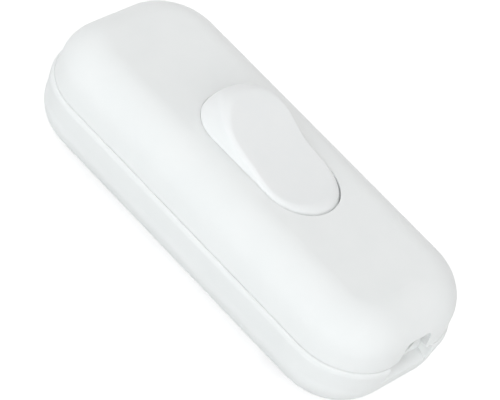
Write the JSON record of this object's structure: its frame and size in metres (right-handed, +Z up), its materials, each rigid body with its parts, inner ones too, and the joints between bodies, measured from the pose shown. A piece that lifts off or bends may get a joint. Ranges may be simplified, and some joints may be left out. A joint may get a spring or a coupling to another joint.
{
  "type": "inline cord switch",
  "caption": "White inline switch for a lamp cord: slim two-shell housing with rounded shoulders, cord inlets at both ends and an oval rocker on top.",
  "frame": {"origin": "centre of the housing's plan, on the flat bottom that the switch rests on", "axes": "+X along the housing towards the end whose half of the rocker is pressed, +Y across the housing along the rocker's pivot, +Z up through the rocker"},
  "size_m": [0.07, 0.0298, 0.0236],
  "materials": {
    "white_shell": "satin",
    "white_rocker": "satin",
    "nylon": "matte",
    "spring_steel": "drawn",
    "brass": "pressed",
    "silver_contact": "satin",
    "zinc_steel": "zinc plated"
  },
  "bodies": {
    "housing": {"base_shell": "white_shell", "cover_shell": "white_shell", "common_contact": "brass", "line_contact": "brass", "fixed_contact_tip": "silver_contact", "neutral_link": "brass", "wire_plate_line": "zinc_steel", "wire_plate_common": "zinc_steel", "wire_plate_neutral_near": "zinc_steel", "wire_plate_neutral_far": "zinc_steel", "terminal_screws": "zinc_steel", "clamp_screws": "zinc_steel", "housing_screws": "zinc_steel", "cord_clamp_near": "nylon", "cord_clamp_far": "nylon"},
    "rocker": {"rocker": "white_rocker", "rocker_spring": "spring_steel"},
    "plunger": {"spring_plunger": "nylon"},
    "contact_arm": {"moving_contact": "brass", "moving_contact_tip": "silver_contact"}
  },
  "joints": [
    {"name": "rocker_pivot", "type": "hinge", "parent": "housing", "child": "rocker", "pos_m": [0, 0, 0.0148], "axis": [0, 1, 0], "range_deg": [-26, 0]},
    {"name": "contact_rock", "type": "hinge", "parent": "housing", "child": "contact_arm", "pos_m": [0, 0, 0.0069], "axis": [0, 1, 0], "range_deg": [0, 12]},
    {"name": "plunger_slide", "type": "slide", "parent": "rocker", "child": "plunger", "axis": [0.225, 0, 0.9744], "range_m": [0, 0.0003], "stiffness_N_per_m": 300, "springref_m": -0.0015, "deforming": ["rocker_spring"]}
  ],
  "couplings": [
    {"joint": "contact_rock", "follows": "rocker_pivot", "ratio": -0.4615}
  ]
}
